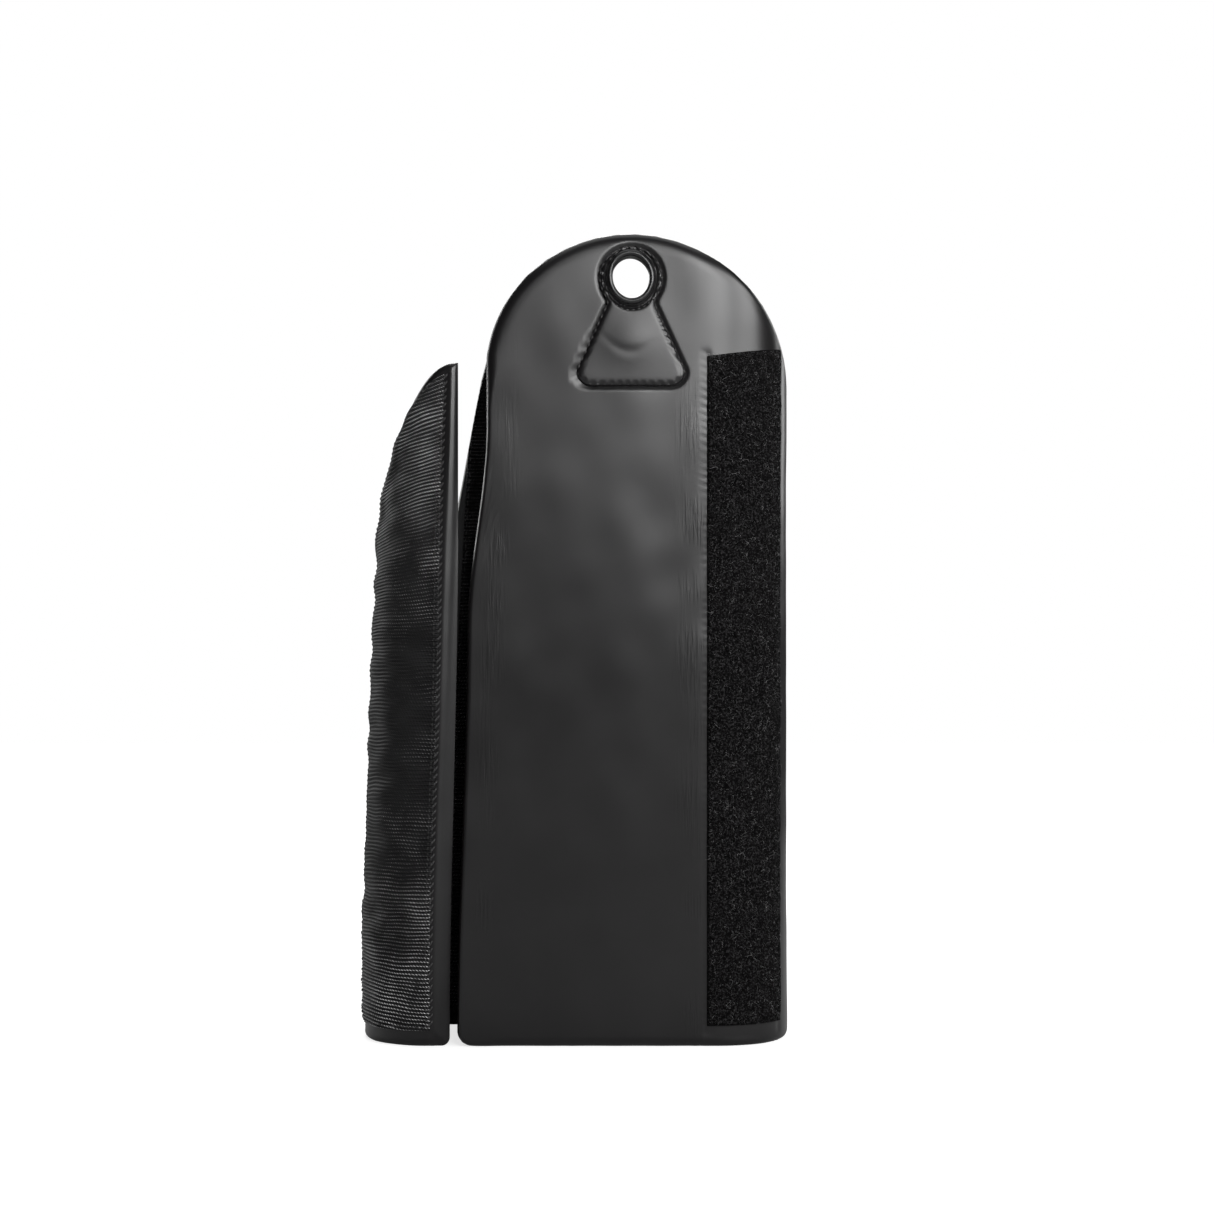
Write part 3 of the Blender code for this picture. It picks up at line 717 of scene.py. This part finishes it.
lit = add_node(tree, "MapRange", {"Value": patchy, "From Min": 0.35, "From Max": 0.65,
    "To Min": 0.55, "To Max": 1.5})
# Painted shade along the tape's height, with random tone, read from the attribute.
shade_and_tone = add_node(tree, "Attribute", attribute_name="shade_and_tone")
stray = add_node(tree, "Attribute", attribute_name="stray")
height = add_node(tree, "SeparateXYZ", {0: spot["UV"]})
rib = add_node(tree, "Math", {0: height.outputs["Y"], 1: 1 / (RIB * MM), 2: stray.outputs["Fac"]},
    operation="MULTIPLY_ADD")
whole_turn = add_node(tree, "Math", {0: rib, 1: 2 * pi}, operation="MULTIPLY")
swing = add_node(tree, "Math", {0: whole_turn}, operation="COSINE")
crest = add_node(tree, "MapRange", {"Value": swing, "From Min": -1.0})
# Painted shade: the grooves between the ribs are darkened almost to black in the colour.
sharp = add_node(tree, "Math", {0: crest, 1: 2.6}, operation="POWER")
groove_shade = add_node(tree, "MapRange", {"Value": sharp, "To Min": 0.05})
patchy_shaded_tone = add_node(tree, "Math", {0: lit, 1: shade_and_tone.outputs["Fac"]}, operation="MULTIPLY")
shaded_tone = add_node(tree, "Math", {0: patchy_shaded_tone, 1: groove_shade}, operation="MULTIPLY")
yarn_tone = add_node(tree, "Math", {0: mixed, 1: shaded_tone}, operation="MULTIPLY")
tone = add_node(tree, "ValToRGB", {"Fac": yarn_tone}, ((0.10, "0d0d0e"), (0.65, "e0dfe0")))
twill = add_node(tree, "Bump", {"Height": mixed, "Strength": 0.8, "Distance": 0.3 * MM})
rounded = add_node(tree, "Bump", {"Height": crest, "Strength": 0.9, "Distance": 0.5 * MM,
    "Normal": twill})
woven = add_node(tree, "BsdfPrincipled", {"Base Color": tone, "Roughness": 0.62,
    "Specular IOR Level": 0.35, "Normal": rounded})
add_node(tree, "OutputMaterial", {"Surface": woven})

loop_tape = tape("loop_tape_pile", *LOOP, outside, -1, LOOP_THICK, pile_relief, 0.85, 52, loop_pile,
    border=2.0)
hook_tape = tape("hook_tape_face", *HOOK, outside, -1, HOOK_THICK, hook_relief, 0.44, 44,
    hook_cloth, tone=hook_tone)
inner_hook = tape("inner_hook_tape_face", *INNER, inside, 1, 1.0,
    lambda g, z: 0.3 + 0.22 * np.cos(2 * pi * z / RIB), 0.55, 14, hook_cloth,
    tone=lambda g, z: {"shade_and_tone": 0.5 + 0 * g, "stray": 0 * g})
edge_loop = tape("edge_loop_tape_pile", *EDGE, inside, 1, 1.7, pile_relief, 0.95, 36, loop_pile,
    border=2.0)
for piece, node, finish, flat, ground in (
        (loop_tape, "loop_tape", "loop_pile", (0.050, 0.394), "front_padding"),
        (hook_tape, "hook_tape", "hook_tape", (0.058, 0.385), "flap_padding"),
        (inner_hook, "inner_hook_tape", "hook_tape", (0.038, 0.390), "back_lining_cloth"),
        (edge_loop, "edge_loop_tape", "loop_pile", (0.038, 0.372), "front_lining_cloth")):
    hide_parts(node)

# --------------------------------------
# Loose fibres: loops of the pile that pulled free and stand off it as fine dark curls, some painted
# pale as glints.
CURL_RINGS = 7
CURL_RADIUS = 0.055


def unit(arrow):
    """Arrows over their own lengths."""
    return arrow / np.linalg.norm(arrow, axis=-1, keepdims=True)


def curls(name, count, seed, low, high, foot, upper, base, side, material):
    """Short thin arcs scattered over a tape: each is a three-sided tube bowed off the pile by a
    parabola and bent sideways by part of a sine."""
    draw = np.random.default_rng(seed)
    g = draw.uniform(low + 1, high - 1, count)
    z = draw.uniform(foot + 1, upper(low) - 1, count)
    z = np.minimum(z, loop_top(g) - 1.5) if side < 0 else z
    turn, span = draw.uniform(0, 2 * pi, count), 0.7 + 5.0 * draw.uniform(0, 1, count) ** 8
    rise = draw.uniform(0.4, 1.3, count)
    t = np.linspace(-1, 1, CURL_RINGS)
    reach = span[:, None] / 2 * t
    bow = (1 - t ** 2) * rise[:, None]
    bend = 0.35 * span[:, None] * np.sin(2.2 * t + turn[:, None])
    fg = g[:, None] + reach * np.cos(turn)[:, None] - bend * np.sin(turn)[:, None]
    fz = z[:, None] + reach * np.sin(turn)[:, None] + bend * np.cos(turn)[:, None]
    line = place(fg, base(fg, fz) + side * (2.3 + bow), fz)
    ahead = unit(np.gradient(line, axis=1))
    aside = unit(np.cross(ahead, [0.31, 0.52, 0.79]))
    upright = np.cross(ahead, aside)
    angle = np.array([0, 2 * pi / 3, 4 * pi / 3])
    ring = CURL_RADIUS * (aside[:, :, None] * np.cos(angle)[:, None] + upright[:, :, None]
        * np.sin(angle)[:, None])
    points = (line[:, :, None] + ring).reshape(-1, 3)
    block = np.arange(count * CURL_RINGS * 3).reshape(count, CURL_RINGS, 3)
    beside = np.roll(block, -1, axis=2)
    walls = np.stack([block[:, :-1], beside[:, :-1], beside[:, 1:], block[:, 1:]], -1)
    walls = walls.reshape(-1, 4)
    caps = np.stack([block[:, 0, ::-1], block[:, -1]], 1).reshape(-1, 3)
    faces = np.concatenate([walls[:, [0, 1, 2]], walls[:, [0, 2, 3]], caps])
    return add_piece(name, points, faces, material)


# Nylon filament: smooth dark fibre, with pale patches painted into its colour as glints.
filament, tree, spot = empty_material("nylon_filament")
glint_patches = add_node(tree, "TexNoise", {"Vector": spot["Object"], "Scale": 300.0})
# Painted glints: noise turns some of the fibre's colour pale.
tone = add_node(tree, "ValToRGB", {"Fac": glint_patches}, ((0.45, "141414"), (0.70, "8a898a")))
strand = add_node(tree, "BsdfPrincipled", {"Base Color": tone, "Roughness": 0.45})
add_node(tree, "OutputMaterial", {"Surface": strand})

loop_curls = curls("loop_tape_fibres", 4600, 51, *LOOP, outside, -1, filament)
edge_curls = curls("edge_loop_fibres", 900, 52, *EDGE, inside, 1, filament)

# --------------------------------------
# Stitches: bonded polyester thread in a 4.5 mm lockstitch down each tape's border, and a close
# overlock along the hook tape's inner edge.


def beads(name, centre, ahead, out, length, radius, material):
    """A row of stitches: each is a small spindle along ahead, sunk at its ends, on a face that out
    points away from."""
    around, along = 6, np.array([0.0, 0.25, 0.75, 1.25, 1.75, 2.0]) - 1
    girth = np.array([0.0, 0.75, 1.0, 1.0, 0.75, 0.0]) * radius
    ahead = unit(ahead)
    aside = unit(np.cross(ahead, out))
    up = np.cross(aside, ahead)
    angle = np.arange(around) * 2 * pi / around
    sink = -0.9 * radius * along ** 2
    spine = (centre[:, None] + ahead[:, None] * (along * length / 2)[:, None]
        + up[:, None] * sink[:, None])
    ring = aside[:, None] * np.cos(angle)[:, None] + up[:, None] * np.sin(angle)[:, None]
    points = spine[:, 1:-1, None] + ring[:, None] * girth[1:-1, None, None]
    count, rings = len(centre), len(along) - 2
    points = np.concatenate([points.reshape(count, -1, 3), spine[:, [0, -1]]], axis=1)
    each = points.shape[1]
    block = np.arange(rings * around).reshape(rings, around)
    turned = np.roll(block, -1, axis=1)
    walls = np.stack([block[:-1], turned[:-1], turned[1:], block[1:]], -1).reshape(-1, 4)
    tail, tip = rings * around, rings * around + 1
    ends = np.concatenate([np.stack([turned[0], block[0], np.full(around, tail)], -1),
        np.stack([block[-1], turned[-1], np.full(around, tip)], -1)])
    triangles = np.concatenate([walls[:, [0, 1, 2]], walls[:, [0, 2, 3]], ends])
    faces = (triangles[None] + each * np.arange(count)[:, None, None]).reshape(-1, 3)
    return add_piece(name, points.reshape(-1, 3), faces, material)


def stitch_row(route, pitch):
    """Points pitch apart along a route of (g, z), and the way along at each."""
    length = np.concatenate([[0], np.cumsum(np.linalg.norm(np.diff(route, axis=0), axis=1))])
    marks = np.arange(0.5 * pitch, length[-1], pitch)
    at = np.stack([np.interp(marks, length, route[:, k]) for k in (0, 1)], 1)
    way = np.stack([np.interp(marks + 0.3, length, route[:, k]) for k in (0, 1)], 1) - at
    return at, way


def sewn(name, routes, pitch, length, radius, depth, material, skew=0.0):
    """Stitches along routes on the sheet at a depth; skew turns each one across its row."""
    stitches = []
    for route in routes:
        at, way = stitch_row(np.array(route, dtype=float), pitch)
        way = way / np.maximum(np.linalg.norm(way, axis=1, keepdims=True), 1e-9)
        way = way + skew * np.stack([-way[:, 1], way[:, 0]], 1)
        deep = depth(at[:, 0], at[:, 1])
        middle = place(at[:, 0], deep, at[:, 1])
        ahead = place(at[:, 0] + way[:, 0] * 0.5, deep, at[:, 1] + way[:, 1] * 0.5) - middle
        stitches.append((middle, ahead, place(at[:, 0], deep - 1.0, at[:, 1]) - middle))
    return beads(name, *(np.concatenate(rows) for rows in zip(*stitches)), length, radius, material)


def border_route(low, high, foot, upper, inset):
    """Once round a tape, inset from its border."""
    foot = foot + inset
    highest = upper(held(low, SHOULDER)) - inset
    sill = np.linspace(held(low, foot) + inset, high - inset, 30)
    along = np.linspace(held(low, highest) + inset, high - inset, 30)
    crest = upper(along) - inset
    rise = np.linspace(0, 1, 60)
    climb, fall = foot + rise * (crest[-1] - foot), crest[0] + rise * (foot - crest[0])
    right = np.stack([np.full(60, high - inset), climb], 1)
    left = np.stack([held(low, fall) + inset + 0 * fall, fall], 1)
    return [np.stack([sill, np.full(30, foot)], 1), right, np.stack([along, crest], 1)[::-1], left]


# Bonded polyester thread, dyed black: two plies whose twist gives a fine slanting line.
thread, tree, spot = empty_material("black_sewing_thread")
twist = add_node(tree, "TexNoise", {"Vector": spot["Object"], "Scale": 1 / (0.6 * MM),
    "Detail": 1.0})
plies = add_node(tree, "Bump", {"Height": twist, "Strength": 0.4, "Distance": 0.1 * MM})
tone = add_node(tree, "ValToRGB", {"Fac": twist}, ((0.0, "161616"), (1.0, "323132")))
dyed = add_node(tree, "BsdfPrincipled", {"Base Color": tone, "Roughness": 0.5, "Normal": plies})
add_node(tree, "OutputMaterial", {"Surface": dyed})

loop_stitches = sewn("loop_tape_stitches", border_route(*LOOP, 1.6), STITCH, 3.2, 0.42,
    lambda g, z: outside(g, z) - LOOP_THICK + 0.1, thread)
hook_stitches = sewn("hook_tape_stitches", border_route(*HOOK, 2.4), 3.1, 2.3, 0.40,
    lambda g, z: outside(g, z) - HOOK_THICK - hook_relief(g, z) - 0.1, thread)
OVERLOCK = 4.2              # pitch of the two slanted runs over the hook tape's inner edge
rise = np.linspace(10.5, 387.0, 300)
overlock = sewn("hook_tape_overlock",
    [np.stack([hook_low(rise) + 0.35, rise], 1), np.stack([hook_low(rise) - 0.75, rise + 1.2], 1)],
    OVERLOCK, 3.4, 0.55,
    lambda g, z: outside(g, z) - 0.95 - 0.25 * np.cos(2 * pi * z / OVERLOCK), thread, skew=0.5)
inner_hook_stitches = sewn("inner_hook_stitches", border_route(*INNER, 2.0), STITCH, 3.2, 0.4,
    lambda g, z: inside(g, z) + 1.6, thread)
edge_loop_stitches = sewn("edge_loop_stitches", border_route(*EDGE, 2.0), STITCH, 3.2, 0.4,
    lambda g, z: inside(g, z) + 2.2, thread)
for piece, node in ((loop_stitches, "loop_tape_thread"), (hook_stitches, "hook_tape_thread"),
        (inner_hook_stitches, "inner_hook_thread"), (edge_loop_stitches, "edge_loop_thread")):
    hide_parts(node)

# --------------------------------------
# Keyhole patch: a second skin of PU leather over a thin foam pad, sewn down all round its outline
# and round the eyelet, which it reinforces where the shield hangs.
PATCH_RISE = 2.7
FRONT_RAISE = EASE ** 2 / (4 * BEND_RADIUS)
RING_WIDE, RING_TALL = 13.7, 15.8
HOLE_WIDE = 10.5
RING_TILT = radians(7)
PATCH_BASE = 2.2            # depth that the patch's pad is sunk to


def tilted(x, z, angle):
    """A point turned by an angle about the eyelet's middle."""
    return x * np.cos(angle) - z * np.sin(angle), z * np.cos(angle) + x * np.sin(angle)


def ring_radius(x, z):
    """How many ring sizes a point is from the eyelet's middle; the ring is oval and tilted."""
    x, z = tilted(x, z, -RING_TILT)
    return np.sqrt((x / RING_WIDE) ** 2 + (z / RING_TALL) ** 2)


def patch_height(x, z, away):
    """Height over the front's face: a crowned pad that dives to its seam, with a puckered border, a
    moat round the ring and a shallow crescent dent."""
    crown = PATCH_RISE * (1 - np.exp(-(away + 0.2) / 0.9)) + 0.9 * np.exp(-(x / 16) ** 2
        - ((z - 408) / 14) ** 2)
    angle = np.arctan2(x, z - 420.0)
    puckers = 0.40 * np.cos(angle * 52) * np.exp(-((away - 0.9) / 1.2) ** 2)
    moat = 1.9 * np.exp(-((ring_radius(x, z - EYELET_Z) - 1.09) / 0.075) ** 2)
    dent = 0.24 * np.exp(-(((x + 1) / 12) ** 2
        + ((z - 402) / 3.0 - (x / 12) ** 2 * 1.6 + 0.2) ** 2))
    return crown - 1.0 - moat * smooth(away / 2.5) - dent + puckers + FRONT_RAISE


rows = np.concatenate([[0, 0.1, 0.4, 0.9, 1.6, 2.4], np.linspace(3.3, 77.4, 92),
    [78.3, 79.1, 79.8, 80.3, 80.6, 80.7]])
share = np.concatenate([[-1, -0.99, -0.96, -0.91], np.linspace(-0.85, 0.85, 62),
    [0.91, 0.96, 0.99, 1]])
u, v = np.meshgrid(share, rows / 80.7)
z = PATCH_FOOT + v * (EYELET_Z + PATCH_HEAD - PATCH_FOOT)
half = np.maximum(patch_half(z), 0.4)
x = u * half
away = np.maximum(patch_distance(x, z), 0.0)
over = patch_height(x, z, away)
patch = shell("keyhole_patch", dome_x(x), z, -over, np.full_like(over, PATCH_BASE), leather,
    attributes={"creased": 0 * over})
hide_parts("patch_skin", "patch_pad")

SEAM_IN = 0.7 / 31          # the seam runs 0.7 mm inside an outline that is 31 mm from its middle
inset_line = patch_outline() * (1 - SEAM_IN) + np.array([0, 425.0 * SEAM_IN])
patch_stitches = sewn("patch_stitches", [np.stack([dome_x(inset_line[:, 0]), inset_line[:, 1]], 1)],
    STITCH, 3.1, 0.42, lambda g, z: -patch_height(dome_x(g), z, np.full_like(g, 0.7)) + 0.1, thread)
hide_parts("patch_thread")

SEAM_SIZE = 1.2             # the seam under the ring, in ring sizes
turn = np.linspace(0, 2 * pi, 200)
ring_seam = np.stack([SEAM_SIZE * RING_WIDE * np.sin(turn),
    EYELET_Z + SEAM_SIZE * RING_TALL * np.cos(turn)], 1)
ring_seam = ring_seam[patch_distance(ring_seam[:, 0], ring_seam[:, 1]) > 1.0]
ring_seam = ring_seam[ring_seam[:, 1] < EYELET_Z]
ring_seam = ring_seam[np.argsort(ring_seam[:, 0])]
ring_stitches = sewn("ring_seam_stitches",
    [np.stack([dome_x(ring_seam[:, 0]), ring_seam[:, 1]], 1)], 3.4, 2.6,
    0.42, lambda g, z: -patch_height(dome_x(g), z, patch_distance(dome_x(g), z)) + 0.1, thread)

# --------------------------------------
# Eyelet: a two-part black acetal ring, snapped together through the front with a glued spacer
# between the faces.  Its mouth is rounded and moulded smooth; the hole goes right through.
OVAL_SIDES = 96


def oval_turned(name, profile):
    """A closed profile of (share of the ring's oval, height over the front), carried round it."""
    profile = np.array(profile, dtype=float)
    angle = np.arange(OVAL_SIDES) * 2 * pi / OVAL_SIDES
    x, z = tilted(profile[:, 0] * RING_WIDE * np.cos(angle)[:, None],
        profile[:, 0] * RING_TALL * np.sin(angle)[:, None], RING_TILT)
    deep = -np.broadcast_to(profile[:, 1], x.shape) - FRONT_RAISE
    points = place(dome_x(x), deep, z + EYELET_Z).reshape(-1, 3)
    block = np.arange(x.size).reshape(x.shape)
    turned, beside = np.roll(block, -1, axis=0), np.roll(block, -1, axis=1)
    both = np.roll(turned, -1, axis=1)
    faces = np.stack([block, beside, both, turned], -1).reshape(-1, 4)
    return add_piece(name, points, faces, acetal)


def arc(centre, middle, radius_share, radius, start, stop, steps=9):
    """Part of a round rim: points about (centre, middle) from one angle to another, in degrees."""
    angle = np.radians(np.linspace(start, stop, steps))
    return list(zip(centre + radius_share * np.cos(angle), middle + radius * np.sin(angle)))


# Acetal: a hard, slightly waxy moulded plastic with a soft gloss and a faint orange-peel.
acetal, tree, spot = empty_material("black_acetal")
peel = add_node(tree, "TexNoise", {"Vector": spot["Object"], "Scale": 1 / (2.0 * MM),
    "Detail": 2.0})
waxy = add_node(tree, "MapRange", {"Value": peel, "From Min": 0.3, "From Max": 0.7,
    "To Min": 0.26, "To Max": 0.36})
dimple = add_node(tree, "Bump", {"Height": peel, "Strength": 0.15, "Distance": 0.1 * MM})
moulded = add_node(tree, "BsdfPrincipled", {"Base Color": linear("131314"), "Roughness": waxy,
    "IOR": 1.48, "Normal": dimple})
add_node(tree, "OutputMaterial", {"Surface": moulded})

hole_share = HOLE_WIDE / RING_WIDE
rim = (1 - hole_share) / 2
ring_profile = ([(hole_share + 0.07, -PADDING - 2.6), (hole_share, 1.8)]
    + arc(1 - rim, 2.1, rim, 1.9, 180, 0, 13)
    + [(1.0, 0.4), (hole_share + 0.10, 0.0), (hole_share + 0.10, -PADDING - 2.6)])
eyelet = oval_turned("eyelet_ring", ring_profile)
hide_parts("eyelet")
washer_profile = ([(hole_share + 0.11, -PADDING - 0.9)]
    + arc(1 - 0.06, -PADDING - 1.5, 0.06, 1.1, 60, -60, 7) + [(hole_share + 0.11, -PADDING - 2.4)])
washer = oval_turned("eyelet_washer_ring", washer_profile)
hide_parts("eyelet_washer")
frame["nodes"]["eyelet_spacer"].material_slots[0].material = acetal

# The hole is punched through the cover, the lining and the patch before the ring is set.
PUNCH = hole_share + 0.05
PUNCH_SIDES = 72
angle = np.arange(PUNCH_SIDES) * 2 * pi / PUNCH_SIDES
punch_x, punch_z = tilted(PUNCH * RING_WIDE * np.cos(angle), PUNCH * RING_TALL * np.sin(angle),
    RING_TILT)
ends = [place(dome_x(punch_x), np.full(PUNCH_SIDES, deep), punch_z + EYELET_Z)
    for deep in (-14.0, 20.0)]
near = np.arange(PUNCH_SIDES)
far = near + PUNCH_SIDES
walls = np.stack([near, np.roll(near, -1), np.roll(far, -1), far], 1).tolist()
punch_mesh = bpy.data.meshes.new("punch")
punch_mesh.from_pydata((np.concatenate(ends) * MM).tolist(), [],
    walls + [near[::-1].tolist(), far.tolist()])
shape = bmesh.new()
shape.from_mesh(punch_mesh)
bmesh.ops.recalc_face_normals(shape, faces=shape.faces)
shape.to_mesh(punch_mesh)
shape.free()
punch = put("punch", punch_mesh)
for piece in (front_padding, front_lining, patch):
    hole = piece.modifiers.new("hole", "BOOLEAN")
    hole.operation = "DIFFERENCE"
    hole.solver = "EXACT"
    hole.object = punch
    graph = bpy.context.evaluated_depsgraph_get()
    cut_mesh = bpy.data.meshes.new_from_object(piece.evaluated_get(graph))
    piece.modifiers.clear()
    piece.data = cut_mesh
bpy.data.objects.remove(punch)

# --------------------------------------
# Fastening: the front's and the flap's pieces are baked in place; the rest go on the bodies.
for piece in (front_padding, front_lining, loop_tape, loop_curls, loop_stitches):
    join_over_bend(piece)
for piece in (flap_padding, flap_lining, hook_tape, hook_stitches, overlock):
    join_over_bend(piece)
for piece in (edge_loop, edge_curls, edge_loop_stitches, patch, patch_stitches, ring_stitches,
        eyelet, washer):
    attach(piece, "front")
for piece in (back_padding, back_lining, inner_hook, inner_hook_stitches):
    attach(piece, "back")
